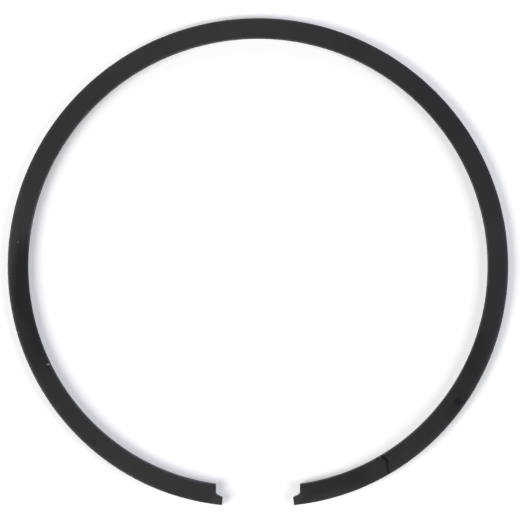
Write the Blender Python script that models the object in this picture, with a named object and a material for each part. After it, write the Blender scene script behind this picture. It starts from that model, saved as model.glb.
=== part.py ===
# A piston ring for a small two-stroke engine, as it lies out of its cylinder.
#
# The ring is one piece of cast iron with a rectangular section. Pressed into its cylinder it is a
# true circle that bears on the wall with the same pressure all the way round. Out of the cylinder
# it springs open to the form built here. The bending that a uniform pressure causes is nothing at
# the two ends and grows to its most at the back, so the free ring is flattest at the back, and
# close to the ends it still has the curve of the cylinder. Each end carries half of a notch on the
# inside, which fits round the locating pin in the piston's groove.
#
# Units are metres. The ring lies flat, +Z is up, its back is towards +Y and its ends towards -Y.

import math

import bmesh
import bpy
from mathutils import Matrix, Vector

# Driving dimensions
BORE_DIAMETER = 0.047
RADIAL_WALL = 0.00204
RING_HEIGHT = 0.0015
CLOSED_GAP = 0.00025
FREE_GAP = 0.00692
OUTER_EDGE_RADIUS = 0.00012
INNER_EDGE_RADIUS = 0.00008
NOTCH_LENGTH = 0.0007
NOTCH_DEPTH = 0.00119
NOTCH_FLOOR_RADIUS = 0.00135
NOTCH_FILLET = 0.00015
END_CORNER_RADIUS = 0.0001

# How finely the curves are divided. STATIONS is for half of the ring, and each run between two
# stations is walked in SMALL_STEPS.
STATIONS = 96
SMALL_STEPS = 8
CORNER_STEPS = 4
FLOOR_STEPS = 6

# The swept bar runs on past each end by OVERRUN and is then trimmed. The cutters reach clear of the
# bar by CLEARANCE, and leave its running face at the angle CUTTER_EXIT.
OVERRUN = 0.0004
CLEARANCE = 0.0006
CUTTER_EXIT = math.radians(15)

# The opening that gives the free gap is found by halving the range from none to MOST_OPENING.
MOST_OPENING = 0.2
HALVINGS = 40

WELD_DISTANCE = 1e-6
SHARP_ANGLE = math.radians(30)

# Grey cast iron under a manganese phosphate coat: nearly black and dull, with a trace of oil on it
COAT_COLOUR = (0.033, 0.034, 0.036, 1.0)
COAT_ROUGHNESS = 0.5

outer_radius = BORE_DIAMETER / 2
neutral_radius = outer_radius - RADIAL_WALL / 2
inner_radius = outer_radius - RADIAL_WALL
half_length = neutral_radius * math.pi - CLOSED_GAP / 2


def clear_the_file():
    for item in list(bpy.data.objects):
        bpy.data.objects.remove(item)


def place(item, collection):
    collection.objects.link(item)
    return item


def direction(distance, opening):
    """How far the free ring has turned, in radians, at this distance from the middle of its back.

    Closed, the ring turns evenly. The opening takes away the share 1 + cos of the turn, which is
    the bending moment of an even pressure.
    """
    angle = distance / neutral_radius
    return angle - opening * (angle + math.sin(angle))


def walk(opening, length, steps):
    """Points of the free neutral line from the middle of the back to this distance along it."""
    step = length / (steps * SMALL_STEPS)
    x, y = 0.0, neutral_radius
    points = [(x, y)]
    for i in range(steps * SMALL_STEPS):
        turn = direction((i + 0.5) * step, opening)
        x += step * math.cos(turn)
        y -= step * math.sin(turn)
        if (i + 1) % SMALL_STEPS == 0:
            points.append((x, y))
    return points


def opening_for(gap):
    """The opening that leaves this gap between the ends of the neutral line."""
    low, high = 0.0, MOST_OPENING
    for _ in range(HALVINGS):
        middle = (low + high) / 2
        if walk(middle, half_length, STATIONS)[-1][0] * 2 < gap:
            low = middle
        else:
            high = middle
    return (low + high) / 2


def arc(centre, radius, start, end, steps):
    """Points on an arc, angles in radians, the start and the end included."""
    points = []
    for i in range(steps + 1):
        a = start + (end - start) * i / steps
        points.append((centre[0] + radius * math.cos(a), centre[1] + radius * math.sin(a)))
    return points


def curve_object(name, points, closed, collection):
    """A curve of straight runs through these points, which are (x, y) or (x, y, z)."""
    data = bpy.data.curves.new(name, "CURVE")
    data.dimensions = "3D"
    data.twist_mode = "Z_UP"
    spline = data.splines.new("POLY")
    spline.points.add(len(points) - 1)
    for target, p in zip(spline.points, points):
        target.co = (p[0], p[1], p[2] if len(p) > 2 else 0.0, 1.0)
    spline.use_cyclic_u = closed
    return place(bpy.data.objects.new(name, data), collection)


def as_mesh_object(source, name, collection):
    """A mesh object with the curve's evaluated shape. The curve is then removed."""
    graph = bpy.context.evaluated_depsgraph_get()
    mesh = bpy.data.meshes.new_from_object(source.evaluated_get(graph), depsgraph=graph)
    mesh.name = name
    item = bpy.data.objects.new(name, mesh)
    item.matrix_world = source.matrix_world.copy()
    bpy.data.objects.remove(source)
    body = bmesh.new()
    body.from_mesh(mesh)
    bmesh.ops.remove_doubles(body, verts=body.verts, dist=WELD_DISTANCE)
    bmesh.ops.recalc_face_normals(body, faces=body.faces)
    body.to_mesh(mesh)
    body.free()
    return place(item, collection)


def section_points():
    """The ring's section, with +X to the running face and +Y up. All four long edges are rounded."""
    x, y = RADIAL_WALL / 2, RING_HEIGHT / 2
    ro, ri = OUTER_EDGE_RADIUS, INNER_EDGE_RADIUS
    quarter = math.pi / 2
    points = arc((x - ro, -y + ro), ro, -quarter, 0, CORNER_STEPS)
    points += arc((x - ro, y - ro), ro, 0, quarter, CORNER_STEPS)
    points += arc((-x + ri, y - ri), ri, quarter, 2 * quarter, CORNER_STEPS)
    points += arc((-x + ri, -y + ri), ri, 2 * quarter, 3 * quarter, CORNER_STEPS)
    return points


def end_outline(turn_left):
    """The cutter that shapes an end, seen from above, as (distance into the ring, distance from
    the closed ring's centre).

    It runs from the running face round the outer corner, down the end face, round the tip, along
    the hollow floor of the notch, up its wall and out past the inside of the ring. The wall leans
    away from the end face by turn_left, the angle that the free ring is short of a full turn, so
    it lies square to the line that joins the two free ends.
    """
    r = END_CORNER_RADIUS
    floor_centre = Vector((-CLOSED_GAP / 2, 0.0))
    reach = math.sqrt(NOTCH_FLOOR_RADIUS ** 2 - floor_centre.x ** 2)
    floor_centre.y = inner_radius + NOTCH_DEPTH - reach

    # The outer corner stops short of the running face and leaves it at a slant.
    corner = (r, math.sqrt((outer_radius - r) ** 2 - r ** 2))
    outer = arc(corner, r, math.pi / 2 + CUTTER_EXIT, math.pi, CORNER_STEPS)
    leaving = Vector((outer[0][0] + CLEARANCE / math.tan(CUTTER_EXIT), outer[0][1] + CLEARANCE))

    # The tip is round between the end face and the floor.
    tip_y = floor_centre.y + math.sqrt((NOTCH_FLOOR_RADIUS + r) ** 2 - (r - floor_centre.x) ** 2)
    to_floor = Vector((floor_centre.x - r, floor_centre.y - tip_y))
    tip = arc((r, tip_y), r, math.pi, math.atan2(to_floor.y, to_floor.x) + math.tau, CORNER_STEPS)

    # The wall and the fillet at its foot, which touches the floor and the wall.
    foot_y = floor_centre.y + math.sqrt(NOTCH_FLOOR_RADIUS ** 2 - (NOTCH_LENGTH - floor_centre.x) ** 2)
    along = Vector((math.sin(turn_left), -math.cos(turn_left)))
    across = Vector((-math.cos(turn_left), -math.sin(turn_left)))
    start = Vector((NOTCH_LENGTH, foot_y)) + across * NOTCH_FILLET
    offset = start - floor_centre
    room = NOTCH_FLOOR_RADIUS - NOTCH_FILLET
    run = -offset.dot(along) - math.sqrt(offset.dot(along) ** 2 - offset.length_squared + room ** 2)
    fillet_centre = start + along * run
    on_floor = fillet_centre - floor_centre
    floor_end = math.atan2(on_floor.y, on_floor.x)
    floor_start = math.atan2(tip_y - floor_centre.y, r - floor_centre.x)
    floor = arc(floor_centre, NOTCH_FLOOR_RADIUS, floor_start, floor_end, FLOOR_STEPS)
    fillet = arc(fillet_centre, NOTCH_FILLET, floor_end, turn_left, CORNER_STEPS)
    mouth = Vector(fillet[-1]) + along * (fillet[-1][1] - inner_radius + CLEARANCE)

    back = -OVERRUN - CLEARANCE
    points = [(back, outer_radius + CLEARANCE), tuple(leaving)]
    points += outer
    points += tip
    points += floor[1:]
    points += fillet[1:]
    points += [tuple(mouth), (back, inner_radius - CLEARANCE)]
    return points


def end_cutter(name, side, end, turn, collection):
    """The end outline carried to an end of the free ring and made a block. side is 1 or -1."""
    tangent = Vector((math.cos(turn), -math.sin(turn)))
    outward = Vector((math.sin(turn), math.cos(turn)))
    plan = []
    for into, radius in end_outline(math.pi - turn):
        p = Vector(end) - tangent * into + outward * (radius - neutral_radius)
        plan.append((side * p.x, p.y))
    low, high = -CLEARANCE, RING_HEIGHT + CLEARANCE
    body = bmesh.new()
    face = body.faces.new([body.verts.new((x, y, low)) for x, y in plan])
    lifted = bmesh.ops.extrude_face_region(body, geom=[face])
    top = [v for v in lifted["geom"] if isinstance(v, bmesh.types.BMVert)]
    bmesh.ops.translate(body, verts=top, vec=(0, 0, high - low))
    bmesh.ops.recalc_face_normals(body, faces=body.faces)
    mesh = bpy.data.meshes.new(name)
    body.to_mesh(mesh)
    body.free()
    cutter = place(bpy.data.objects.new(name, mesh), collection)
    cutter.hide_render = True
    cutter.display_type = "WIRE"
    return cutter


def phosphated_iron():
    """The material of the whole ring."""
    material = bpy.data.materials.new("phosphated_iron")
    material.use_nodes = True
    shader = material.node_tree.nodes["Principled BSDF"]
    shader.inputs["Base Color"].default_value = COAT_COLOUR
    shader.inputs["Metallic"].default_value = 0.0
    shader.inputs["Roughness"].default_value = COAT_ROUGHNESS
    material.diffuse_color = COAT_COLOUR
    return material


def box_middle_y(item):
    """The middle, along Y, of the object's shape with its modifiers applied."""
    shaped = item.evaluated_get(bpy.context.evaluated_depsgraph_get())
    mesh = shaped.to_mesh()
    reach = [v.co.y for v in mesh.vertices]
    shaped.to_mesh_clear()
    return (min(reach) + max(reach)) / 2


clear_the_file()
ring_collection = bpy.data.collections.new("piston_ring")
tool_collection = bpy.data.collections.new("cutters")
for made in (ring_collection, tool_collection):
    bpy.context.scene.collection.children.link(made)

opening = opening_for(FREE_GAP)
half = walk(opening, half_length + OVERRUN, STATIONS)
line = list(reversed(half)) + [(-x, y) for x, y in half[1:]]
path = curve_object("neutral_line", [(x, y, RING_HEIGHT / 2) for x, y in line], False, tool_collection)
section = curve_object("section", section_points(), True, tool_collection)
path.data.bevel_mode = "OBJECT"
path.data.bevel_object = section
path.data.use_fill_caps = True
ring = as_mesh_object(path, "piston_ring", ring_collection)
section.hide_render = True
section.display_type = "WIRE"

end = walk(opening, half_length, STATIONS)[-1]
turn = direction(half_length, opening)
for name, side in (("end_cutter_right", 1), ("end_cutter_left", -1)):
    cut = ring.modifiers.new(name, "BOOLEAN")
    cut.operation = "DIFFERENCE"
    cut.solver = "EXACT"
    cut.object = end_cutter(name, side, end, turn, tool_collection)

# The ring and its cutters are moved so that the origin is under the middle of the outline.
shift = Matrix.Translation((0, -box_middle_y(ring), 0))
ring.data.transform(shift)
for tool in tool_collection.objects:
    if tool.type == "MESH":
        tool.data.transform(shift)

ring.data.materials.append(phosphated_iron())
for polygon in ring.data.polygons:
    polygon.use_smooth = True
ring.data.set_sharp_from_angle(angle=SHARP_ANGLE)

print("opening", round(opening, 5), "ends turned open by", round(math.degrees(math.pi - turn), 2), "degrees")
print("faces", len(ring.data.polygons))
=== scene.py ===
# %% [markdown]
# # A piston ring, out of its cylinder
#
# The ring is a thin, springy hoop of grey cast iron, 49.6 mm across and 1.5 mm high, under a dull
# black phosphate coat. It lies flat on a pale table and is seen from straight above. There is only
# one piece, so the whole lesson is about one form, one finish and one kind of light.
#
# The imported model comes first. It carries the sizes that everything here has to keep to.

# %% Load the imported model
import math

import bmesh
import bpy
import numpy as np
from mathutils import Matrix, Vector


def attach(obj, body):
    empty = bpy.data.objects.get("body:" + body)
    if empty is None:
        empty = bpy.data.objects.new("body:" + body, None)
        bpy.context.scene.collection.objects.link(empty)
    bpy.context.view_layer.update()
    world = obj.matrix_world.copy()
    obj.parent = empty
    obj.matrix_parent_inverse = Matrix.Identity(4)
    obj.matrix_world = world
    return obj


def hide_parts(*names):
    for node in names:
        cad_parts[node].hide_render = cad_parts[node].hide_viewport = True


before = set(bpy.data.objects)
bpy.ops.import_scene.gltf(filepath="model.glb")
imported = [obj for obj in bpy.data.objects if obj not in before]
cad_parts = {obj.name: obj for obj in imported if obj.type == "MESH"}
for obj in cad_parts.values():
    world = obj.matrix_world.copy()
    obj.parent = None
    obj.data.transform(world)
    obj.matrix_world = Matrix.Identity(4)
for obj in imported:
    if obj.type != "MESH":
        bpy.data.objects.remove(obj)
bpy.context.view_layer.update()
MM_PER_METRE = 1000


def mm(metres, digits=3):
    """Metres in millimetres, rounded for printing."""
    return (np.asarray(metres) * MM_PER_METRE).round(digits).tolist()


# %% [markdown]
# ## The free form of the ring
#
# Pressed into its cylinder the ring is a true circle that bears on the wall evenly all the way
# round. Let go, it springs open, and the most at the back, where the bending is greatest. A circle
# with a piece cut out would look nearly right, but its back would be too round and its ends too
# straight. So the neutral line, the middle of the wall that neither stretches nor shrinks, is
# walked in short steps whose direction follows from the bending.

# %% The neutral line
BORE_DIAMETER = 0.047
RADIAL_WALL = 0.00204
RING_HEIGHT = 0.0015
CLOSED_GAP = 0.00025
FREE_GAP = 0.00692

OUTER_RADIUS = BORE_DIAMETER / 2
INNER_RADIUS = OUTER_RADIUS - RADIAL_WALL
HALF_WALL = RADIAL_WALL / 2
NEUTRAL_RADIUS = OUTER_RADIUS - HALF_WALL
HALF_LENGTH = NEUTRAL_RADIUS * math.pi - CLOSED_GAP / 2
LINE_STEPS = 4000


def turned(distance, opening):
    """The turn of the free ring at a distance from the middle of its back, in radians.

    turn = angle - opening * (angle + sin(angle)), where angle is the distance over the neutral
    radius. The second part is what the ring gains by springing open.
    """
    angle = distance / NEUTRAL_RADIUS
    return angle - opening * (angle + np.sin(angle))


def free_line(opening):
    """The right half of the neutral line: the sum of short steps along (cos, -sin) of the turn."""
    step = HALF_LENGTH / LINE_STEPS
    turn = turned((np.arange(LINE_STEPS) + 0.5) * step, opening)
    x = np.concatenate([[0.0], np.cumsum(np.cos(turn)) * step])
    y = NEUTRAL_RADIUS - np.concatenate([[0.0], np.cumsum(np.sin(turn)) * step])
    return np.stack([x, y], 1)


print("half of the neutral line is", mm(HALF_LENGTH), "mm long")

# %% [markdown]
# The opening isn't known, but what it leads to is: the ends of the free ring lie 6.92 mm apart. The
# wider the opening, the further apart they are, so it is found by halving. Try the middle of what
# is still possible, see whether the ends come out too close, and keep the half that is left.

# %% How far the ring springs open
WIDEST_OPENING = 0.2
HALVINGS = 40

low, high = 0.0, WIDEST_OPENING
for _ in range(HALVINGS):
    opening = (low + high) / 2
    too_narrow = free_line(opening)[-1, 0] * 2 < FREE_GAP
    low, high = (opening, high) if too_narrow else (low, opening)

line = free_line(opening)
line_distance = np.linspace(0, HALF_LENGTH, LINE_STEPS + 1)
turn_left = math.pi - float(turned(HALF_LENGTH, opening))
print("opening", round(opening, 5), "turns each end open by", round(math.degrees(turn_left), 2), "degrees")


# %% A place on the ring
def on_line(distance):
    """The neutral line's point, and the directions along it and outward, at these distances."""
    turn = turned(distance, opening)
    point = np.stack([np.interp(distance, line_distance, line[:, i]) for i in (0, 1)], -1)
    along = np.stack([np.cos(turn), -np.sin(turn)], -1)
    outward = np.stack([np.sin(turn), np.cos(turn)], -1)
    return point, along, outward


end_point, end_along, end_outward = on_line(np.float64(HALF_LENGTH))
print("right end of the neutral line in mm", mm(end_point))

# %% [markdown]
# ## The two outlines seen from above
#
# Seen from above, the metal lies between an outer and an inner outline, and both meet in the middle
# of the end face. The outer one follows the running face, turns a small corner and comes down the
# end face. The inner one follows the bore side up to the notch for the locating pin: round the
# mouth of the notch, up its wall, round a fillet, along the hollow floor, round the tip and up the
# end face.
#
# Cutting the notch out of a finished bar would leave a ragged mesh at the cut. Carrying the section
# along these two outlines keeps even rows of faces right round the corners, and the edges can be
# rounded there as they are anywhere else.
#
# The end is drawn in its own frame: how far into the ring from the end face, and how far from the
# centre of the closed ring.

# %% Runs of an outline
RUN_POINTS = 60


def arc(centre, radius, start, end, hollow=False):
    """Points on an arc, centre + radius * (cos, sin), and the direction out of the metal.

    On a hollow arc the metal is outside the circle, so out of it is towards the centre.
    """
    angle = np.linspace(start, end, RUN_POINTS)
    spoke = np.stack([np.cos(angle), np.sin(angle)], 1)
    return np.asarray(centre) + radius * spoke, -spoke if hollow else spoke


def straight(start, end, out):
    """Points on a straight run, start + t * (end - start), with one direction out of the metal."""
    t = np.linspace(0, 1, RUN_POINTS)[:, None]
    return start + (np.asarray(end) - start) * t, np.tile(np.asarray(out, float), (RUN_POINTS, 1))


def at_end(run):
    """Carries a run from the frame of the right end to the plan."""
    points, out = run
    into, radius = points[:, :1], points[:, 1:]
    placed = end_point - into * end_along + (radius - NEUTRAL_RADIUS) * end_outward
    return placed, -out[:, :1] * end_along + out[:, 1:] * end_outward


def long_edge(side, last):
    """The outer (side 1) or inner (side -1) long edge, half a wall from the neutral line."""
    point, _, outward = on_line(np.linspace(0, last, LINE_STEPS + 1))
    return point + side * HALF_WALL * outward, side * outward


print("each arc or straight run has", RUN_POINTS, "points, and each long edge", LINE_STEPS + 1)

# %% [markdown]
# Each arc touches the runs on both sides of it, so no corner has a kink. The centres follow from
# that: a circle that touches two others lies at the sum or the difference of their radii from both
# centres, and one that touches a straight wall lies its own radius away from it.

# %% Centres of the corners and the notch
END_CORNER_RADIUS = 0.0001
NOTCH_LENGTH = 0.0007
NOTCH_DEPTH = 0.00119
NOTCH_FLOOR_RADIUS = 0.00135
NOTCH_FILLET = 0.00015
MOUTH_RADIUS = 0.00006


def leg(longest, other):
    """The third side of a triangle with a right angle: sqrt(longest ** 2 - other ** 2)."""
    return math.sqrt(longest ** 2 - other ** 2)


def heading(arrow):
    """The direction of an arrow in radians, anticlockwise from the first axis."""
    return math.atan2(arrow[1], arrow[0])


def slide_until(start, direction, centre, distance):
    """Where a point that slides from start along direction comes to this distance from centre.

    That is a quadratic for the way it slides, and this is the smaller of its two answers.
    """
    offset = start - centre
    run = -offset @ direction
    rest = math.sqrt(run ** 2 - offset @ offset + distance ** 2)
    return start + direction * (run - rest)


corner = np.array([END_CORNER_RADIUS, leg(OUTER_RADIUS - END_CORNER_RADIUS, END_CORNER_RADIUS)])
corner_touch = math.atan2(corner[0], corner[1])

floor_x = -CLOSED_GAP / 2
floor_centre = np.array([floor_x, INNER_RADIUS + NOTCH_DEPTH - leg(NOTCH_FLOOR_RADIUS, floor_x)])

tip_reach = NOTCH_FLOOR_RADIUS + END_CORNER_RADIUS
tip = np.array([END_CORNER_RADIUS, floor_centre[1] + leg(tip_reach, END_CORNER_RADIUS - floor_x)])
tip_start = heading(floor_centre - tip) + math.tau

wall_down = np.array([math.sin(turn_left), -math.cos(turn_left)])
into_metal = np.array([math.cos(turn_left), math.sin(turn_left)])
foot = np.array([NOTCH_LENGTH, floor_centre[1] + leg(NOTCH_FLOOR_RADIUS, NOTCH_LENGTH - floor_x)])

beside_the_fillet = foot - into_metal * NOTCH_FILLET
fillet = slide_until(beside_the_fillet, wall_down, floor_centre, NOTCH_FLOOR_RADIUS - NOTCH_FILLET)
floor_end = heading(fillet - floor_centre)
floor_start = heading(tip - floor_centre)

beside_the_mouth = foot + into_metal * MOUTH_RADIUS
mouth = slide_until(beside_the_mouth, wall_down, np.zeros(2), INNER_RADIUS + MOUTH_RADIUS)
mouth_touch = math.atan2(mouth[0], mouth[1])
print("the notch in mm, in the frame of the end: mouth", mm(mouth), "fillet", mm(fillet), "tip", mm(tip))


# %% The outer and the inner outline
def chain(runs):
    """Joins runs end to end.

    Gives the points, the directions out, the length up to each point, and that at each run's end.
    """
    points = np.concatenate([points for points, _ in runs])
    out = np.concatenate([out for _, out in runs])
    length = np.concatenate([[0.0], np.cumsum(np.hypot(*np.diff(points, axis=0).T))])
    return points, out, length, length[np.cumsum([len(points) for points, _ in runs]) - 1]


def on_chain(joined, length):
    """The points and the directions out at these lengths, read between the chain's own points."""
    points, out, at, _ = joined
    place = np.stack([np.interp(length, at, points[:, i]) for i in (0, 1)], 1)
    away = np.stack([np.interp(length, at, out[:, i]) for i in (0, 1)], 1)
    return place, away / np.linalg.norm(away, axis=1, keepdims=True)


face_middle = (0.0, (corner[1] + tip[1]) / 2)
end_out = (-1.0, 0.0)
outer_chain = chain([
    long_edge(1, HALF_LENGTH - NEUTRAL_RADIUS * corner_touch),
    at_end(arc(corner, END_CORNER_RADIUS, math.pi / 2 - corner_touch, math.pi)),
    at_end(straight((0.0, corner[1]), face_middle, end_out)),
])
inner_chain = chain([
    long_edge(-1, HALF_LENGTH - NEUTRAL_RADIUS * mouth_touch),
    at_end(arc(mouth, MOUTH_RADIUS, 1.5 * math.pi - mouth_touch, math.pi + turn_left)),
    at_end(straight(mouth - into_metal * MOUTH_RADIUS, fillet + into_metal * NOTCH_FILLET, -into_metal)),
    at_end(arc(fillet, NOTCH_FILLET, turn_left, floor_end, hollow=True)),
    at_end(arc(floor_centre, NOTCH_FLOOR_RADIUS, floor_end, floor_start, hollow=True)),
    at_end(arc(tip, END_CORNER_RADIUS, tip_start, math.pi)),
    at_end(straight((0.0, tip[1]), face_middle, end_out)),
])
middle_shift = -(outer_chain[0][:, 1].max() + outer_chain[0][:, 1].min()) / 2
print("half outline in mm: outside", mm(outer_chain[2][-1]), "inside", mm(inner_chain[2][-1]))
print("moved along Y by", mm(middle_shift), "mm, so that its middle is at the origin")

# %% [markdown]
# ## The photograph as a map
#
# The camera looked straight down, so a place in the picture is a place on the ring's upper side.
# Marks are therefore noted by where they lie in the picture, and one small function turns that into
# metres. The scale was found by laying the ring's own outline over the picture.

# %% From the picture to the ring
PIXELS_PER_MM = 10.10
MIDDLE_ACROSS = 257.44
MIDDLE_DOWN = 261.15


def spot(across, down):
    """The plan place in metres of a place in the picture."""
    return np.array([across - MIDDLE_ACROSS, MIDDLE_DOWN - down]) / (PIXELS_PER_MM * MM_PER_METRE)


def distance_to(place):
    """How far along the neutral line from the back the nearest point to a place is."""
    on_right = np.array([abs(place[0]), place[1] - middle_shift])
    return line_distance[np.argmin(np.hypot(*(line - on_right).T))]


# A fine score crosses the upper side near the right end, with a small nick beside it, and a chip is
# out of the bore edge on the left.
SCORE = [spot(*p) for p in (
    (382.5, 455.8), (383.6, 457.0), (385.4, 458.9), (386.7, 461.0), (387.1, 463.4),
    (387.0, 466.0), (387.4, 468.5), (388.0, 471.0), (387.9, 474.5))]
SCORE_FORK = [spot(*p) for p in ((382.0, 456.7), (381.6, 459.0))]
SCORE_MIDDLE = SCORE[4]
CHIP = spot(48.6, 363.9)
SMALL_NICK = spot(377.7, 458.8)
print("from the back, in mm: score", mm(distance_to(SCORE_MIDDLE)), "chip", mm(distance_to(CHIP)))

# %% [markdown]
# ## Rows of faces
#
# The section is set down at a few hundred places, the stations. Where the ring is plain they can be
# far apart, but a score a quarter of a millimetre wide needs them every fiftieth of one. So
# the spacing is a function of the distance from the back, small at each mark and growing away from
# it, and the stations are read off the running total of its inverse.

# %% Stations along the plain part
PLAIN_SPACING = 0.0002
SPACING_GROWTH = 0.12
END_STRETCH = 0.004
PLAIN_END = HALF_LENGTH - END_STRETCH
FINE_STEPS = 20000
# Each mark: its distance from the back, how far its close rows reach, and how close they are.
MARKS_RIGHT = [
    (distance_to(SCORE_MIDDLE), 0.0007, 0.00002),
    (distance_to(SMALL_NICK), 0.0002, 0.00003),
]
MARKS_LEFT = [(distance_to(CHIP), 0.0003, 0.00002)]


def plain_stations(marks):
    """Distances from the back, as close together as the nearest mark asks for.

    The spacing is close + growth * the distance beyond the mark's reach, and at most the plain one.
    """
    fine = np.linspace(0, PLAIN_END, FINE_STEPS + 1)
    spacing = np.full_like(fine, PLAIN_SPACING)
    for centre, reach, close in marks:
        away = np.clip(np.abs(fine - centre) - reach, 0, None)
        spacing = np.minimum(spacing, close + SPACING_GROWTH * away)
    density = (1 / spacing[1:] + 1 / spacing[:-1]) / 2
    total = np.concatenate([[0.0], np.cumsum(density * np.diff(fine))])
    return np.interp(np.linspace(0, total[-1], round(total[-1]) + 1), total, fine)


print("the plain part stops", mm(END_STRETCH), "mm before each end")

# %% [markdown]
# Near an end the inner outline is much longer than the outer one, because it goes round the notch.
# There the two are matched at a few given knots, and evenly in between, so that the rows fan out from the
# notch and never cross.

# %% Stations round the notch
# Places on the outer edge, from the end face, that go with both ends of the mouth and of the fillet.
OUTER_MATCHES = (0.0020, 0.0019, 0.00115, 0.00085)
KNOT_STEPS = (18, 6, 16, 7, 14, 8, 8)


def edge_lengths(distance):
    """Lengths along the inner and the outer edge, up to a distance along the neutral line.

    An edge that lies half a wall away gains or loses half a wall times the turn.
    """
    gained = HALF_WALL * turned(distance, opening)
    return distance - gained, distance + gained


def outer_at(into):
    """The outer edge's length at a distance from the end face."""
    return edge_lengths(HALF_LENGTH - into)[1]


plain_inner, plain_outer = edge_lengths(PLAIN_END)
inner_knots = [plain_inner, *inner_chain[3]]
outer_knots = [plain_outer, *(outer_at(into) for into in OUTER_MATCHES), *outer_chain[3]]


def half_stations(marks):
    """Matched lengths along the inner and the outer outline, from the back to the end face."""
    inner, outer = ([part] for part in edge_lengths(plain_stations(marks)))
    for i, steps in enumerate(KNOT_STEPS):
        t = np.arange(1, steps + 1) / steps
        inner.append(inner_knots[i] + (inner_knots[i + 1] - inner_knots[i]) * t)
        outer.append(outer_knots[i] + (outer_knots[i + 1] - outer_knots[i]) * t)
    return np.concatenate(inner), np.concatenate(outer)


right_inner, right_outer = half_stations(MARKS_RIGHT)
left_inner, left_outer = half_stations(MARKS_LEFT)
inner_length = np.concatenate([-left_inner[:0:-1], right_inner])
outer_length = np.concatenate([-left_outer[:0:-1], right_outer])
back = len(left_inner) - 1
print("stations:", back, "to the left and", len(right_inner), "to the right of the back")

# %% [markdown]
# ## The section and its rounded edges
#
# The section is a rectangle with four rounded edges. An edge of radius r is a quarter circle: at
# the angle a it is set in by r * (1 - cos a) and lies r * (1 - sin a) below the flat side. The
# edges of the running face are rounder than those of the bore side, and all of them grow small at
# the notch, where a rounding larger than the corner itself would fold over. A slow waver of a tenth
# or so keeps the light on the edges from looking drawn with a ruler.

# %% Edge radii along the ring
OUTER_EDGE = 0.00012
INNER_EDGE = 0.00008
END_EDGE = 0.00003
EDGE_FADE = 0.0008
WAVER = 0.12
RANDOM_SEED = 47
random = np.random.default_rng(RANDOM_SEED)


def waver(length, shortest=0.0009, longest=0.012, waves=9):
    """A smooth unevenness between about -1 and 1.

    It is a sum of sines of several lengths over the root of their number, with phases drawn by lot.
    """
    periods = np.geomspace(shortest, longest, waves)[:, None]
    phases = random.uniform(0, math.tau, (waves, 1))
    return np.sin(math.tau * length / periods + phases).sum(0) / math.sqrt(waves)


def edge_radius(length, full, last):
    """The full radius with its waver, down to END_EDGE within EDGE_FADE of the length last."""
    t = np.clip((last - np.abs(length)) / EDGE_FADE, 0, 1)
    smooth = t * t * (3 - 2 * t)
    return END_EDGE + (full * (1 + WAVER * waver(length)) - END_EDGE) * smooth


outer_round = edge_radius(outer_length, OUTER_EDGE, outer_chain[3][0])
inner_round = edge_radius(inner_length, INNER_EDGE, inner_chain[3][0])
print("edge radii at the back in mm: outside", mm(outer_round[back]), "inside", mm(inner_round[back]))

# %% [markdown]
# A section has a row of points across the flat side, then round the outer edge, down the running
# face, round again, back under the ring, and up the bore side. Close beside each rounding there is
# one more point on the flat: it keeps the smooth shading of the rounding from spreading over it.

# %% Columns of a section
HOLD = 0.012
ROUND_STEPS = 5
SKIN = 0.000003


def fractions_across(margin, count):
    """From 0 to 1: both ends, a point close beside each, and an even row between the margins."""
    return np.concatenate([[0.0, HOLD], np.linspace(margin, 1 - margin, count), [1 - HOLD, 1.0]])


quarter = np.linspace(0, math.pi / 2, ROUND_STEPS + 1)
across_top = fractions_across(0.05, 18)
across_bottom = fractions_across(0.14, 6)
down_wall = np.array([0.0, HOLD, 0.18, 0.39, 0.61, 0.82, 1 - HOLD, 1.0])
print("columns: top", len(across_top), "underside", len(across_bottom), "each wall", len(down_wall))


# %% Both outlines at the stations
def outline_points(joined, length):
    """Both halves of an outline at signed lengths: the left half is the right one with x reversed.

    The surface is set in by SKIN, less than can be seen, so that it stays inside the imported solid.
    """
    place, away = on_chain(joined, np.abs(length))
    flip = np.stack([np.where(length < 0, -1.0, 1.0), np.ones_like(length)], 1)
    shift = np.array([0.0, middle_shift])
    return (place - SKIN * away) * flip + shift, away * flip


outer_place, outer_away = outline_points(outer_chain, outer_length)
inner_place, inner_away = outline_points(inner_chain, inner_length)
print("widest across the outer outline in mm", mm(np.ptp(outer_place[:, 0])))


# %% Parts of the section
def flat_side(height, facing, fractions):
    """Points across a flat side, a + t * (b - a), from the inner rounding to the outer one.

    Each part of the section gives its points in plan, their heights, and the plan and the upright
    share of the direction out of the metal. Here that is straight up (1) or straight down (-1).
    """
    a = (inner_place - inner_away * inner_round[:, None])[:, None]
    b = (outer_place - outer_away * outer_round[:, None])[:, None]
    plan = a + (b - a) * fractions[None, :, None]
    shape = plan.shape[:2]
    return plan, np.full(shape, height), np.zeros_like(plan), np.full(shape, facing)


def rounding(place, away, radius, angle, top):
    """A rounded edge: set in by r * (1 - cos a), and r * (1 - sin a) from the flat side."""
    r = radius[:, None]
    plan = place[:, None] - away[:, None] * (r * (1 - np.cos(angle)))[..., None]
    drop = r * (1 - np.sin(angle))
    lean = away[:, None] * np.cos(angle)[None, :, None]
    rise = np.tile(np.sin(angle), (len(radius), 1))
    return plan, RING_HEIGHT - drop if top else drop, lean, rise if top else -rise


def side_wall(place, away, radius, fractions):
    """Points straight down a wall, between the two roundings."""
    r = radius[:, None]
    plan = np.repeat(place[:, None], len(fractions), 1)
    height = RING_HEIGHT - r - (RING_HEIGHT - 2 * r) * fractions
    return plan, height, np.repeat(away[:, None], len(fractions), 1), np.zeros_like(height)


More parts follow.
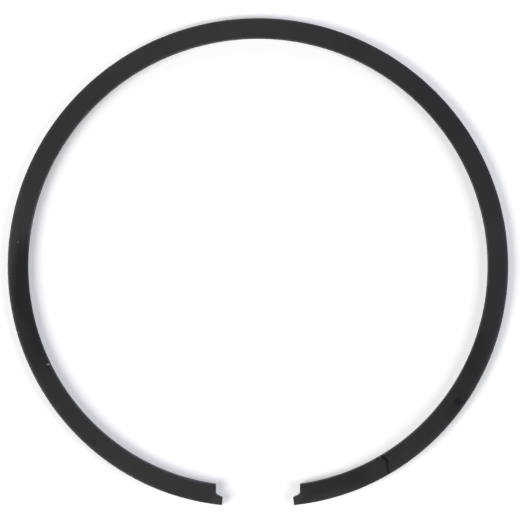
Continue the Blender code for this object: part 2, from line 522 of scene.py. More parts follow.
parts = [
    flat_side(RING_HEIGHT, 1.0, across_top),
    rounding(outer_place, outer_away, outer_round, quarter[-2:0:-1], True),
    side_wall(outer_place, outer_away, outer_round, down_wall),
    rounding(outer_place, outer_away, outer_round, quarter[1:-1], False),
    flat_side(0.0, -1.0, across_bottom[::-1]),
    rounding(inner_place, inner_away, inner_round, quarter[-2:0:-1], False),
    side_wall(inner_place, inner_away, inner_round, down_wall[::-1]),
    rounding(inner_place, inner_away, inner_round, quarter[1:-1], True),
]
plan, height, lean, rise = (np.concatenate([part[i] for part in parts], 1) for i in range(4))
points = np.concatenate([plan, height[..., None]], 2)
normals = np.concatenate([lean, rise[..., None]], 2)
print("grid of", points.shape[0], "sections with", points.shape[1], "points each")

# %% [markdown]
# ## Marks of use
#
# The score, its short fork, the nick and the chip are real hollows, so they catch the light from
# any side. A hollow pushes each point in along its own normal, and the depth falls off with the
# distance to the nearest piece of the line, or to the middle of the chip, as a bell curve does:
# depth * exp(-(distance / width) ** 2). Nothing is pushed outward, so the ring keeps its size.

# %% The score and its fork
SCORE_WIDTH = 0.00014
FORK_WIDTH = 0.00011
FORK_FADE = 0.65
# How strong the score is at these shares of its length, from the bore side on.
SCORE_SHARES = (0, 0.2, 0.35, 0.5, 0.62, 0.8, 1.0)
SCORE_STRENGTHS = (0.95, 1.0, 0.95, 0.85, 0.65, 0.8, 0.85)


def distance_to_path(path):
    """Each point's distance in plan to a path of straight pieces.

    It also gives how far along the path the nearest place is, from 0 to 1.
    """
    best = np.full(points.shape[:2], np.inf)
    along = np.zeros(points.shape[:2])
    for i, (a, b) in enumerate(zip(path, path[1:])):
        t = np.clip(((plan - a) @ (b - a)) / ((b - a) @ (b - a)), 0, 1)
        away = np.hypot(*np.moveaxis(plan - a - t[..., None] * (b - a), 2, 0))
        nearer = away < best
        best = np.where(nearer, away, best)
        along = np.where(nearer, (i + t) / (len(path) - 1), along)
    return best, along


def near_top(reach=0.00012):
    """1 on the upper side, falling down the walls by exp(-(distance below / reach) ** 2)."""
    return np.exp(-((RING_HEIGHT - height) / reach) ** 2)


score_away, score_along = distance_to_path(SCORE)
fork_away, fork_along = distance_to_path(SCORE_FORK)
score_strength = np.interp(score_along, SCORE_SHARES, SCORE_STRENGTHS)
score = near_top() * score_strength * np.exp(-(score_away / SCORE_WIDTH) ** 2)
fork = near_top() * (1.0 - FORK_FADE * fork_along) * np.exp(-(fork_away / FORK_WIDTH) ** 2)
score = np.maximum(score, fork)
print("points in the score", int((score > 0.5).sum()))

# %% The hollows
SCORE_DEPTH = 0.000018
CHIP_DEPTH = 0.00004
CHIP_RADIUS = 0.00012
NICK_RADIUS = 0.00012


def hollow(place, radius):
    """1 at a place on the upper side, falling by exp(-(distance in space / radius) ** 2)."""
    middle = np.array([*place, RING_HEIGHT])
    return np.exp(-(np.linalg.norm(points - middle, axis=2) / radius) ** 2)


chip = hollow(CHIP, CHIP_RADIUS)
nick = hollow(SMALL_NICK, NICK_RADIUS)
depth = SCORE_DEPTH * np.maximum(score, nick) + CHIP_DEPTH * chip
points = points - normals * depth[..., None]
print("deepest place in mm", mm(depth.max()))

# %% [markdown]
# ## A map for the finish
#
# The finish needs to know where it is. A map in millimetres follows the surface: along the ring,
# and round the section. Fine turning lines can then run round the ring and lapping lines across
# it, at their real size.

# %% The surface map
steps_along = (np.diff(inner_length) + np.diff(outer_length)) / 2
along_ring = np.concatenate([[0.0], np.cumsum(steps_along)])
along_ring -= along_ring[back]
loop = np.concatenate([points[back], points[back, :1]])
round_section = np.concatenate([[0.0], np.cumsum(np.linalg.norm(np.diff(loop, axis=0), axis=1))])
print("the map in mm: along", mm(along_ring[[0, -1]], 2), "and round", mm(round_section[-1], 2))

# %% [markdown]
# ## Worn edges with a painted highlight
#
# Handling rubs the coat thin on the edges, which makes them paler. It shows on the bore side all the way
# round, and on the running face mostly at the left and the right, where the edge faces the two lamps: there
# the paler edge is also a painted highlight. Bevel shaders find edges by themselves, but they don't know
# which side is paler. So the wear and painted highlight are written down for each point: full on the
# roundings, and fading over the first few hundredths of a millimetre of the upper side.

# %% Wear and painted highlight for each point
FLAT_FROM = 0.999
FLAT_SHARPNESS = 8
EDGE_REACH = 0.00006
EDGE_ON_FLAT = 0.8
EDGE_ON_ROUNDING = 1.3
LEAST_WEAR_AND_HIGHLIGHT_OUTSIDE = 0.30
# Each stretch of the outer edges that faces a lamp and gets a painted highlight besides its wear: its
# middle, half its spread, and how much more it gets.
WEAR_AND_HIGHLIGHT_OUTSIDE = ((155, 32, 0.40), (15, 32, 0.20))

direction = np.degrees(np.arctan2(-points[..., 1], points[..., 0])) % 360
top_columns = len(across_top)
other_columns = points.shape[1] - top_columns
column = np.concatenate([across_top, np.interp(np.arange(other_columns), [0, other_columns], [1, 0])])


def around(middle, spread, sharpness=4):
    """1 near a direction seen from the ring's middle, falling by exp(-(apart / spread) ** sharpness).

    Directions are in degrees clockwise from the right, as in the picture.
    """
    apart = (direction - middle + 180) % 360 - 180
    return np.exp(-np.abs(apart / spread) ** sharpness)


flat = np.abs(rise) ** FLAT_SHARPNESS
on_flat = np.abs(rise) > FLAT_FROM
to_edge = np.minimum(column, 1 - column) * RADIAL_WALL
edge_on_flat = EDGE_ON_FLAT * np.exp(-(to_edge / EDGE_REACH) ** 2)
edge = np.where(on_flat, edge_on_flat, np.clip(EDGE_ON_ROUNDING * np.abs(rise), 0, 1))
edge[on_flat & (rise < 0)] = 0.0
more_wear_and_highlight = (more * around(middle, spread) for middle, spread, more in WEAR_AND_HIGHLIGHT_OUTSIDE)
edge *= np.where(column < 0.5, 1.0, sum(more_wear_and_highlight, LEAST_WEAR_AND_HIGHLIGHT_OUTSIDE))
print("points on worn edges", int((edge > 0.5).sum()))

# %% [markdown]
# ## Patches of tone, some of them painted light
#
# The upper side is darker in some broad patches and paler in others, and the darkest one lies on the left.
# Some patches are painted light: the darker right side is painted shade, and the paler rims on the left and
# the right are painted highlights where the running face's edge faces the lamps. A noise pattern makes
# patches too, but not where this ring has them. So each patch is a soft oval with a place round the ring
# and across the wall, where 0 is the bore side and 1 the running face. They are added up in one value for
# each point, the tone: 0 is the coat's own colour, and 0.2 is a fifth paler.

# %% Broad patches
# Each patch: its middle in degrees clockwise from the right and half its spread, its place across
# the wall and half its width, how abrupt its border is, and how much paler it is.
PATCHES = {
    # Painted shade: the whole right side is darker, as the light from the left lamp falls off across the
    # ring.
    "painted_shade_on_the_right_side": (8, 70, 0.5, 1.5, 4, -0.17),
    "right_middle": (354, 5, 0.5, 1.5, 4, 0.14),
    "lower_right_inside": (22, 6, 0.2, 0.6, 4, -0.28),
    "lower_right_outside": (32, 8, 0.7, 0.7, 4, -0.14),
    "beside_the_blotch": (36, 3, 0.85, 0.4, 4, -0.20),
    "below_the_blotch": (53, 3, 0.9, 0.4, 4, 0.10),
    "beside_the_score": (65, 3, 0.4, 0.8, 4, -0.10),
    "beside_the_right_end": (71, 9, 0.25, 0.55, 4, -0.26),
    "outside_by_the_right_end": (73, 6, 1.0, 0.35, 4, 0.20),
    "beside_the_left_end": (107, 3, 0.5, 0.4, 4, -0.12),
    "left_of_the_ends": (114, 17, 0.5, 1.5, 4, 0.10),
    "outside_at_the_lower_left": (120, 9, 1.0, 0.4, 4, 0.10),
    "lower_left": (147, 13, 0.3, 0.6, 4, -0.13),
    "below_the_left_dark": (163.5, 11, 0.2, 0.85, 4, -0.36),
    "inside_the_left_dark": (164, 8, 0.0, 0.5, 4, -0.27),
    "left_dark_cap": (177.5, 8.5, 0.15, 0.5, 4, -0.26),
    "left_dark_wide": (174, 7, 0.3, 0.55, 4, -0.40),
    "left_dark_core": (176, 8.2, 0.2, 0.42, 8, -0.40),
    "outside_the_left_dark": (183.5, 6.5, 1.0, 0.32, 4, 0.27),
    "above_the_left_dark": (192, 5.5, 0.5, 1.5, 4, 0.17),
    "upper_left": (216, 10, 0.7, 0.6, 4, -0.06),
    "outside_left_of_the_back": (245, 4, 0.9, 0.6, 4, -0.11),
    "back": (258, 22, 0.5, 1.5, 4, 0.13),
    "back_inside": (270, 4, 0.0, 0.5, 4, -0.18),
    "right_of_the_back": (293, 4, 0.8, 0.8, 4, -0.10),
    "upper_right": (319, 9.5, 0.5, 1.5, 4, -0.13),
    # Painted highlights: the outer rim is paler on the right and the left, where it faces the lamps.
    "painted_highlight_on_the_right_rim": (30, 32, 1.0, 0.16, 4, 0.20),
    "painted_highlight_on_the_left_rim": (180, 50, 1.0, 0.16, 4, 0.20),
}
DARKEST = -0.61
FACING_UP = 0.5


def patch(middle, spread, place_across, half_width, sharpness):
    """1 inside a patch of the upper side, falling both ways by exp(-(away / half) ** sharpness)."""
    across = np.exp(-np.abs((column - place_across) / half_width) ** sharpness)
    return around(middle, spread, sharpness) * across * (rise > FACING_UP)


tone = np.zeros(points.shape[:2])
for *where_it_is, paler in PATCHES.values():
    tone += paler * patch(*where_it_is)
tone = np.maximum(tone, DARKEST)
print("tone of the coat, from", tone.min().round(3), "to", tone.max().round(3))

# %% Paler ends and a painted bluish tint
END_PALER = 0.50
END_REACH = 0.00095
END_SHARPNESS = 4
# A painted bluish tint of the shadows beside the ring: by the outer edge on the right, and by the bore on
# the left.
PAINTED_BLUE_RIGHT = (350, 70, 1.0, 0.45, 4)
PAINTED_BLUE_LEFT = (160, 75, 0.0, 0.3, 4)
PAINTED_BLUE_LEFT_SHARE = 0.6

on_right_half = np.stack([np.abs(plan[..., 0]), plan[..., 1] - middle_shift], 2)
into = (end_point - on_right_half) @ end_along
tone += END_PALER * np.exp(-(into / END_REACH) ** END_SHARPNESS)
painted_blue = patch(*PAINTED_BLUE_RIGHT) + PAINTED_BLUE_LEFT_SHARE * patch(*PAINTED_BLUE_LEFT)
print("palest place of the ends", tone.max().round(3), "and most of the cool tint", painted_blue.max().round(3))

# %% [markdown]
# ## The mesh
#
# Rows and columns become four-cornered faces. At the two end faces the outlines meet, so the last
# section is squeezed to a line: points that fall together there are merged, and the surface is
# closed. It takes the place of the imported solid, which has the same form with fewer faces.

# %% Make the mesh
WELD = 1e-7


def grid_faces(rows, columns):
    """The faces of a tube, where the last column joins the first.

    Their corners are (k, j), (k + 1, j), (k + 1, j + 1) and (k, j + 1).
    """
    k, j = np.meshgrid(np.arange(rows - 1), np.arange(columns), indexing="ij")
    after = (j + 1) % columns
    corners = [k * columns + j, (k + 1) * columns + j, (k + 1) * columns + after, k * columns + after]
    return np.stack(corners, 2).reshape(-1, 4), k.ravel(), j.ravel()


def close_surface(mesh):
    """Merges the points that fall together, and prints the volume and what is still open."""
    body = bmesh.new()
    body.from_mesh(mesh)
    bmesh.ops.remove_doubles(body, verts=body.verts, dist=WELD)
    volume = body.calc_volume(signed=True) * MM_PER_METRE ** 3
    open_edges = sum(not e.is_manifold for e in body.edges)
    print("volume in mm3", round(volume, 2), "edges that are not closed", open_edges)
    body.to_mesh(mesh)
    body.free()


def ring_mesh(name):
    """The ring as one closed mesh, with its map in millimetres and its values for each point."""
    faces, k, j = grid_faces(*points.shape[:2])
    mesh = bpy.data.meshes.new(name)
    mesh.from_pydata(points.reshape(-1, 3), [], faces)
    map_along = along_ring[np.stack([k, k + 1, k + 1, k], 1)]
    map_round = round_section[np.stack([j, j, j + 1, j + 1], 1)]
    surface_map = mesh.uv_layers.new(name="surface_map")
    surface_map.data.foreach_set("uv", np.stack([map_along, map_round], 2).ravel() * MM_PER_METRE)
    values = {"score": score, "edge": edge, "flat": flat, "tone": tone, "painted_blue": painted_blue}
    for value_name, value in values.items():
        mesh.attributes.new(value_name, "FLOAT", "POINT").data.foreach_set("value", value.ravel())
    close_surface(mesh)
    mesh.polygons.foreach_set("use_smooth", np.ones(len(mesh.polygons), bool))
    return mesh


ring = bpy.data.objects.new("phosphated_ring", ring_mesh("phosphated_ring"))
bpy.context.scene.collection.objects.link(ring)
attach(ring, "root")
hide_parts("piston_ring")
print("faces", len(ring.data.polygons), "points", len(ring.data.vertices))

# %% [markdown]
# ## The phosphate coat
#
# Manganese phosphate grows on the iron as a felt of tiny crystals that soaks up oil. It is nearly
# black, dull, and a little cloudy, because the felt isn't equally thick. A plain dark colour would
# look like paint, so the coat is built from what makes it: clouds of a millimetre or two, a grain
# of a tenth of a millimetre, and the marks of the machining under it.
#
# A material is a tree of nodes. Four small helpers keep the rest readable: one adds a node, one
# sets or links an input, one does a step of arithmetic, and one stretches a range of values.

# %% Node helpers
coat = bpy.data.materials.new("phosphate_coat")
coat.use_nodes = True
nodes, links = coat.node_tree.nodes, coat.node_tree.links
shader = nodes["Principled BSDF"]


def put(made, key, value):
    """Sets or links one input, by its name or its number."""
    socket = made.inputs[int(key) if key.isdigit() else key]
    if isinstance(value, bpy.types.NodeSocket):
        links.new(value, socket)
    else:
        socket.default_value = value


def node(kind, **inputs):
    """A new node with its inputs: a number is set, and another node's output is linked."""
    made = nodes.new(kind)
    for key, value in inputs.items():
        put(made, key.replace("_", " "), value)
    return made


def sum_up(operation, first, second):
    """One step of arithmetic."""
    made = nodes.new("ShaderNodeMath")
    made.operation = operation
    put(made, "0", first)
    put(made, "1", second)
    return made.outputs[0]


def stretch(value, low, high, new_low, new_high):
    """A value between low and high becomes one between the new limits, and stays inside them."""
    made = nodes.new("ShaderNodeMapRange")
    for i, v in enumerate((value, low, high, new_low, new_high)):
        put(made, str(i), v)
    return made.outputs[0]


def value_of(name):
    """One of the values written down for each point."""
    made = nodes.new("ShaderNodeAttribute")
    made.attribute_name = name
    return made.outputs["Fac"]


wear_and_highlight = value_of("edge")
scored = value_of("score")
print("the coat starts with", len(nodes), "nodes")

# %% [markdown]
# Turning leaves fine lines round the running face and the bore side, and lapping leaves two
# crossing sets of lines on the flat sides. A wave pattern would repeat, so the lines are clouds
# that are drawn out long and thin on the surface map, and the flat sides take the lapped ones.

# %% Clouds, grain and machining marks
# Each pattern: its scale, its detail, and how rough that detail is. The scale of the clouds and of
# the grain is how many of them go into a metre. For the lines it is 1, because their map is already
# drawn out to the length and width of a line.
CLOUDS = (520.0, 3.0, 0.5)
GRAIN = (9000.0, 2.0, 0.6)
SMOOTH_LINES = (1.0, 2.0, 0.5)
# Each set of lines: its turn in degrees, and the length and width of a line in millimetres.
TURNING_LINES = (0, 6.0, 0.05)
LAPPING_LINES = ((38, 1.6, 0.05), (-41, 1.4, 0.05))

where = nodes.new("ShaderNodeTexCoord").outputs["Object"]
surface_map = nodes.new("ShaderNodeUVMap")
surface_map.uv_map = "surface_map"


def noise(vector, scale, detail, roughness):
    """A cloudy pattern, about 1 / scale large."""
    made = node("ShaderNodeTexNoise", Vector=vector, Scale=scale, Detail=detail, Roughness=roughness)
    return made.outputs["Fac"]


def lines(turn_degrees, length, width):
    """Fine lines on the surface map: clouds drawn out to this length and width in millimetres."""
    made = nodes.new("ShaderNodeMapping")
    made.vector_type = "TEXTURE"
    put(made, "Vector", surface_map.outputs["UV"])
    put(made, "Rotation", (0, 0, math.radians(turn_degrees)))
    put(made, "Scale", (length, width, 1))
    return noise(made.outputs["Vector"], *SMOOTH_LINES)


clouds = noise(where, *CLOUDS)
grain = noise(where, *GRAIN)
turning = lines(*TURNING_LINES)
lapping = sum_up("MULTIPLY", sum_up("ADD", *(lines(*one_set) for one_set in LAPPING_LINES)), 0.5)
by_side = node("ShaderNodeMix", Factor=value_of("flat"), A=turning, B=lapping)
machining = by_side.outputs["Result"]
print("with its patterns the coat has", len(nodes), "nodes")

# %% [markdown]
# Some marks are too small for the mesh or have no depth: specks, stains and fine scratches. Each
# is an oval mask in the material, at its place on the upper side. A Mapping node brings the oval to
# a ball of radius 1, and the distance from its middle then says how strongly the mark shows.

# %% Small spots
SPOT_DEPTH = 0.0003
# Each spot: its place, half its length and width in mm, its turn in degrees, how soft its border is,
# and its strength.
DARK_SPOTS = {
    "blotch": (spot(457.4, 401.1), 0.42, 0.52, 0, 0.75, 0.93),
    "tail_of_the_blotch": (spot(461.2, 402.6), 0.5, 0.3, -30, 0.9, 0.36),
    "nick": (SMALL_NICK, 0.21, 0.125, 28, 0.6, 1.0),
    "beside_the_nick": (spot(368.6, 466.3), 0.16, 0.16, 0, 1.0, 0.25),
    "above_the_chip": (spot(46.7, 361.2), 0.15, 0.11, 0, 0.6, 0.8),
    "below_the_chip": (spot(47.2, 366.0), 0.15, 0.11, 0, 0.6, 0.8),
    "streak_at_the_lower_left": (spot(93.6, 441.8), 0.34, 0.11, -50, 1.0, 0.5),
    "its_lower_end": (spot(95.0, 443.3), 0.20, 0.16, 0, 0.8, 0.65),
    "its_upper_end": (spot(92.1, 440.1), 0.16, 0.12, -50, 0.6, 1.0),
    "outer_edge_left_of_the_ends": (spot(171.6, 492.8), 0.85, 0.13, -19, 0.8, 0.65),
}
PALE_SPOTS = {
    "speck": (spot(17.5, 241.5), 0.13, 0.13, 0, 0.7, 1.25),
    "faint_speck_on_the_right": (spot(489.5, 281.5), 0.15, 0.10, 0, 1.0, 0.7),
    "faint_speck_on_the_left": (spot(27.2, 308.3), 0.1, 0.1, 0, 1.0, 0.4),
    "fleck_beside_the_nick": (spot(379.6, 458.7), 0.13, 0.11, 31, 1.0, 0.45),
    "hair_scratch": (spot(173.5, 37.6), 0.32, 0.10, 90, 1.0, 0.45),
}
BARE_IN_THE_CHIP = (CHIP - np.array([0.00007, -0.00001]), 0.25, 0.11, 0, 0.9)


def spot_mask(place, half_length, half_width, turn_degrees, soft):
    """1 in the middle of an oval on the upper side, and 0 from its border on."""
    made = nodes.new("ShaderNodeMapping")
    made.vector_type = "TEXTURE"
    put(made, "Vector", where)
    put(made, "Location", (*place, RING_HEIGHT))
    put(made, "Rotation", (0, 0, math.radians(turn_degrees)))
    put(made, "Scale", (half_length / MM_PER_METRE, half_width / MM_PER_METRE, SPOT_DEPTH))
    length = nodes.new("ShaderNodeVectorMath")
    length.operation = "LENGTH"
    put(length, "0", made.outputs["Vector"])
    return stretch(length.outputs["Value"], 1 - soft, 1.0, 1.0, 0.0)


def strongest(spots):
    """The largest of all these masks, each times its strength."""
    total = 0.0
    for *oval, strength in spots.values():
        total = sum_up("MAXIMUM", total, sum_up("MULTIPLY", spot_mask(*oval), strength))
    return total


dark_spots = strongest(DARK_SPOTS)
pale_spots = strongest(PALE_SPOTS)
bare_chip = spot_mask(*BARE_IN_THE_CHIP)
print(len(DARK_SPOTS), "dark and", len(PALE_SPOTS), "pale spots")

# %% [markdown]
# ## Colour
#
# The parts come together as one number, the level, by which the coat's own colour is multiplied. It is
# about 1 where nothing else happens. The own colour is a nearly neutral black, and a little bluer where a
# painted bluish tint of the shadows beside the edges lies on it. The edges are paler, partly from rubbing
# and partly as a painted highlight where the running face's edge faces the lamps. On the worn edges and in
# the chip, bare iron shows through and takes over as a metal. In the score the coat is gone, and it is
# darker: partly dirt and dark iron, partly painted shade of the groove.

# %% Colour of the coat
COAT_COLOUR = (0.0250, 0.0247, 0.0243)
PAINTED_BLUE_COLOUR = (0.0229, 0.0247, 0.0280)
IRON_COLOUR = (0.30, 0.30, 0.30)
MOST_NOISE = (0.3, 0.7)
CLOUD_CHANGE = 0.06
GRAIN_CHANGE = 0.04
MACHINING_CHANGE = 0.02
WEAR_AND_HIGHLIGHT_TIMES = 3.4
SCORE_DIRT_AND_SHADE_TIMES = 0.3
PALE_SPOT_ADDS = 2.2


def times_pattern(value, pattern, change):
    """The value, times a factor between 1 - change and 1 + change that follows the pattern."""
    return sum_up("MULTIPLY", value, stretch(pattern, *MOST_NOISE, 1 - change, 1 + change))


def mixed(factor, first, second):
    """The first colour where the factor is 0, and the second where it is 1."""
    made = nodes.new("ShaderNodeMix")
    made.data_type = "RGBA"
    put(made, "0", factor)
    put(made, "6", first)
    put(made, "7", second)
    return made.outputs[2]


level = sum_up("ADD", value_of("tone"), 1.0)
level = times_pattern(level, clouds, CLOUD_CHANGE)
level = times_pattern(level, grain, GRAIN_CHANGE)
level = times_pattern(level, machining, MACHINING_CHANGE)
# Paler edges: rubbed coat, and a painted highlight where the running face's edge faces the lamps.
level = sum_up("MULTIPLY", level, stretch(wear_and_highlight, 0.0, 1.0, 1.0, WEAR_AND_HIGHLIGHT_TIMES))
# The score is darker: dirt and dark iron, and painted shade of the groove.
level = sum_up("MULTIPLY", level, stretch(scored, 0.0, 1.0, 1.0, SCORE_DIRT_AND_SHADE_TIMES))
level = sum_up("MULTIPLY", level, sum_up("SUBTRACT", 1.0, dark_spots))
level = sum_up("ADD", level, sum_up("MULTIPLY", pale_spots, PALE_SPOT_ADDS))

# The painted bluish tint of the shadows beside the edges is mixed into the own colour here.
own_colour = mixed(value_of("painted_blue"), (*COAT_COLOUR, 1), (*PAINTED_BLUE_COLOUR, 1))
tinted = nodes.new("ShaderNodeVectorMath")
tinted.operation = "SCALE"
put(tinted, "0", own_colour)
put(tinted, "Scale", level)
print("coat colour", COAT_COLOUR, "and where it is cooler", PAINTED_BLUE_COLOUR)

# %% Bare iron
RUBBED_PATTERN = (2600.0, 3.0, 0.5)
RUBBED_FROM = (0.55, 0.75)
RUBBED_MOST = 0.5
RUBBED_SHARE = 0.3
CHIP_SHARE = 0.95
SCORE_METAL = 0.75

worn_unevenly = stretch(noise(where, *RUBBED_PATTERN), *RUBBED_FROM, 0.0, RUBBED_MOST)
rubbed = sum_up("MULTIPLY", wear_and_highlight, worn_unevenly)
chip_metal = sum_up("MULTIPLY", bare_chip, CHIP_SHARE)
bare = sum_up("MAXIMUM", chip_metal, sum_up("MULTIPLY", rubbed, RUBBED_SHARE))
colour = mixed(bare, tinted.outputs["Vector"], (*IRON_COLOUR, 1))
metal = sum_up("MAXIMUM", bare, sum_up("MULTIPLY", scored, SCORE_METAL))
put(shader, "Base Color", colour)
put(shader, "Metallic", metal)
print("bare iron, at most", CHIP_SHARE, "in the chip and", RUBBED_MOST * RUBBED_SHARE, "on the edges")

# %% [markdown]
# ## Dullness and relief
#
# A felt of crystals scatters light, so the coat is dull, and a little less so on the rubbed edges.
# Its crystals and the machining lines are about a hundredth of a millimetre high. That is too fine
# for the mesh, so they tilt the light through a bump.

# %% Dullness and relief of the coat
DULLNESS = (0.54, 0.58)
DULLNESS_OF_GRAIN = 0.01
WORN_SMOOTHER = 0.08
SPECULAR_LEVEL = 0.2
GRAIN_RELIEF = 0.7
MACHINING_RELIEF = 0.3
BUMP_STRENGTH = 0.12
BUMP_HEIGHT = 0.000012

grain_dullness = stretch(grain, *MOST_NOISE, -DULLNESS_OF_GRAIN, DULLNESS_OF_GRAIN)
dull = sum_up("ADD", stretch(clouds, *MOST_NOISE, *DULLNESS), grain_dullness)
dull = sum_up("SUBTRACT", dull, sum_up("MULTIPLY", wear_and_highlight, WORN_SMOOTHER))
put(shader, "Roughness", dull)
put(shader, "Specular IOR Level", SPECULAR_LEVEL)

grain_relief = sum_up("MULTIPLY", grain, GRAIN_RELIEF)
relief = sum_up("ADD", grain_relief, sum_up("MULTIPLY", machining, MACHINING_RELIEF))
bump = node("ShaderNodeBump", Strength=BUMP_STRENGTH, Distance=BUMP_HEIGHT, Height=relief)
put(shader, "Normal", bump.outputs["Normal"])
ring.data.materials.clear()
ring.data.materials.append(coat)
print("nodes in the coat:", len(nodes))

# %% [markdown]
# ## The table
#
# The ring lies on a plain white sheet with soft, faintly blue shadows. A white diffuse sheet alone
# comes out pale grey, and more light on it would also bleach the ring. So the sheet glows as well,
# but only for rays from the camera and for those that are mirrored or let through: it turns white,
# it keeps its shadows, and it throws no extra light on the ring.
#
# The shadows are deeper inside the ring than outside it. So the sheet glows a little less inside,
# and the change lies out of sight under the ring. Between its two ends nothing hides the change, but
# there the sheet is white either way.

# %% The table
TABLE_HALF = 3.0
TABLE_DROP = 0.00001
PAPER_COLOUR = (0.90, 0.90, 0.90, 1)
GLOW_COLOUR = (1.0, 1.0, 1.0, 1)
GLOW_INSIDE = 0.252
GLOW_OUTSIDE = 0.35
GLOW_CHANGES = (0.0228, 0.0240)

table_mesh = bpy.data.meshes.new("table")
table_corners = ((-1, -1), (1, -1), (1, 1), (-1, 1))
table_points = [(x * TABLE_HALF, y * TABLE_HALF, -TABLE_DROP) for x, y in table_corners]
table_mesh.from_pydata(table_points, [], [(0, 1, 2, 3)])
table = bpy.data.objects.new("table", table_mesh)
bpy.context.scene.collection.objects.link(table)


def linked(tree, kind, *values, operation=None):
    """A new node in a tree. Its first inputs are set to the values, or linked where one is an output."""
    made = tree.nodes.new(kind)
    if operation:
        made.operation = operation
    for socket, value in zip(made.inputs, values):
        if isinstance(value, bpy.types.NodeSocket):
            tree.links.new(value, socket)
        else:
            socket.default_value = value
    return made


def shown_rays(tree):
    """1 for rays from the camera and for rays that are mirrored or let through."""
    ray = tree.nodes.new("ShaderNodeLightPath").outputs
    total = ray["Is Camera Ray"]
    for other in ("Is Glossy Ray", "Is Transmission Ray"):
        total = linked(tree, "ShaderNodeMath", total, ray[other], operation="MAXIMUM").outputs[0]
    return total


white = bpy.data.materials.new("white_table")
white.use_nodes = True
sheet = white.node_tree
sheet.nodes.clear()
place = sheet.nodes.new("ShaderNodeTexCoord").outputs["Object"]
from_middle = linked(sheet, "ShaderNodeVectorMath", place, operation="LENGTH").outputs["Value"]
table_glow = linked(sheet, "ShaderNodeMapRange", from_middle, *GLOW_CHANGES, GLOW_INSIDE, GLOW_OUTSIDE)
shown_glow = linked(sheet, "ShaderNodeMath", shown_rays(sheet), table_glow.outputs[0], operation="MULTIPLY")
paper = linked(sheet, "ShaderNodeBsdfDiffuse", PAPER_COLOUR)
glow = linked(sheet, "ShaderNodeEmission", GLOW_COLOUR, shown_glow.outputs[0])
both = linked(sheet, "ShaderNodeAddShader", paper.outputs[0], glow.outputs[0])
linked(sheet, "ShaderNodeOutputMaterial", both.outputs[0])
table_mesh.materials.append(white)
print("glow of the table:", GLOW_INSIDE, "inside the ring and", GLOW_OUTSIDE, "outside")

# %% [markdown]
# ## The lamps
#
# The shadows tell where the light is. They are deepest and longest where the ring hides the left
# side of the room, weaker where it hides the right side, and faint and wide where it hides the far
# side. So a large, slightly warm lamp stands to the left, about 54 degrees up, a weaker and cooler
# one to the right, about 51 degrees up, and a broad, weak one low at the back.
#
# Each lamp is given as its share of the light on the table, and its power follows from that. Shares
# that add up to about 1 light a white sheet just to white, so colours render as they are written.

# %% The lamps
LAMP_DISTANCE = 1.50
# Each lamp: degrees clockwise from the right of the picture, degrees above the table, width and
# depth in metres, share of the light, and colour.
LAMPS = {
    "left_lamp": (158, 54, 0.72, 0.86, 0.56, (1.03, 1.00, 0.97)),
    "right_lamp": (13, 51, 0.40, 0.86, 0.27, (0.92, 0.99, 1.09)),
    "back_lamp": (266, 30, 1.82, 1.40, 0.135, (0.90, 0.95, 1.15)),
}


def soft_lamp(name, picture_degrees, height_degrees, width, depth, share, colour):
    """A soft lamp, a glowing rectangle, that looks at the ring.

    Its power gives its share of the light on the table: the light that falls there is
    power * sin(height) / (pi * distance ** 2), and full white needs pi.
    """
    a, e = math.radians(-picture_degrees), math.radians(height_degrees)
    towards = Vector((math.cos(a) * math.cos(e), math.sin(a) * math.cos(e), math.sin(e)))
    data = bpy.data.lights.new(name, "AREA")
    data.shape = "RECTANGLE"
    data.size, data.size_y = width, depth
    data.energy = share * (math.pi * LAMP_DISTANCE) ** 2 / math.sin(e)
    data.color = colour
    lamp = bpy.data.objects.new(name, data)
    lamp.location = towards * LAMP_DISTANCE
    lamp.rotation_euler = (-towards).to_track_quat("-Z", "Y").to_euler()
    lamp.visible_camera = False
    bpy.context.scene.collection.objects.link(lamp)
    print(name, "at", [round(v, 3) for v in lamp.location], "with", round(data.energy, 3), "W")


for lamp_name, lamp_values in LAMPS.items():
    soft_lamp(lamp_name, *lamp_values)

# %% [markdown]
# ## The surround
#
# A room is never quite dark between its lamps, so a dim bluish surround fills the shadows a little.
# What the camera or a mirrored ray sees of it low down, past the edge of the table, is pale, so
# that hardly any horizon shows.

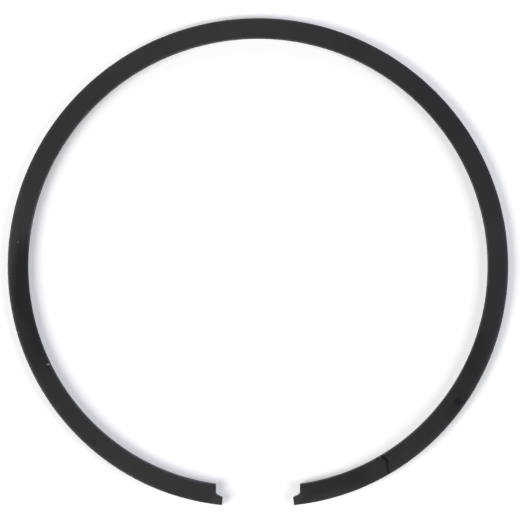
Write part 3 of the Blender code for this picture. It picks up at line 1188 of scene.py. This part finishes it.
# %% The surround
SURROUND = 0.035
SURROUND_COLOUR = (0.95, 1.00, 1.06, 1)
PALE_COLOUR = (0.80, 0.80, 0.80, 1)
PALE_UP_TO = (0.15, 0.40)

world = bpy.data.worlds.new("surround")
bpy.context.scene.world = world
world.use_nodes = True
sky = world.node_tree
facing = sky.nodes.new("ShaderNodeTexCoord").outputs["Generated"]
facing_up = linked(sky, "ShaderNodeSeparateXYZ", facing).outputs["Z"]
low_down = linked(sky, "ShaderNodeMapRange", facing_up, *PALE_UP_TO, 1.0, 0.0)
shown_low = linked(sky, "ShaderNodeMath", shown_rays(sky), low_down.outputs[0], operation="MULTIPLY")
dim = linked(sky, "ShaderNodeBackground", SURROUND_COLOUR, SURROUND)
pale = linked(sky, "ShaderNodeBackground", PALE_COLOUR, 1.0)
sky_mix = linked(sky, "ShaderNodeMixShader", shown_low.outputs[0], dim.outputs[0], pale.outputs[0])
sky.links.new(sky_mix.outputs[0], sky.nodes["World Output"].inputs["Surface"])
print("strength of the surround", SURROUND)

# %% [markdown]
# ## The camera
#
# It looks straight down with the ends of the ring at the bottom of the picture. A long lens far
# away hardly shows the upright faces, as in the photograph. The picture is 520 pixels square, and
# its scale on the ring's upper side fixes how much it takes in.

# %% The camera
PICTURE_PIXELS = 520
CAMERA_DISTANCE = 1.2
SENSOR_WIDTH = 36.0
NEAREST_SEEN = 0.01
FARTHEST_SEEN = 10.0

picture_middle = spot((PICTURE_PIXELS - 1) / 2, (PICTURE_PIXELS - 1) / 2)
picture_width = PICTURE_PIXELS / (PIXELS_PER_MM * MM_PER_METRE)
camera_data = bpy.data.cameras.new("camera")
camera_data.sensor_width = SENSOR_WIDTH
camera_data.lens = SENSOR_WIDTH * CAMERA_DISTANCE / picture_width
camera_data.clip_start, camera_data.clip_end = NEAREST_SEEN, FARTHEST_SEEN
camera = bpy.data.objects.new("camera", camera_data)
camera.location = (*picture_middle, RING_HEIGHT + CAMERA_DISTANCE)
bpy.context.scene.collection.objects.link(camera)
bpy.context.scene.camera = camera
bpy.context.scene.view_settings.view_transform = "Standard"
print("the picture is", mm(picture_width, 2), "mm wide, lens", round(camera_data.lens, 1), "mm")
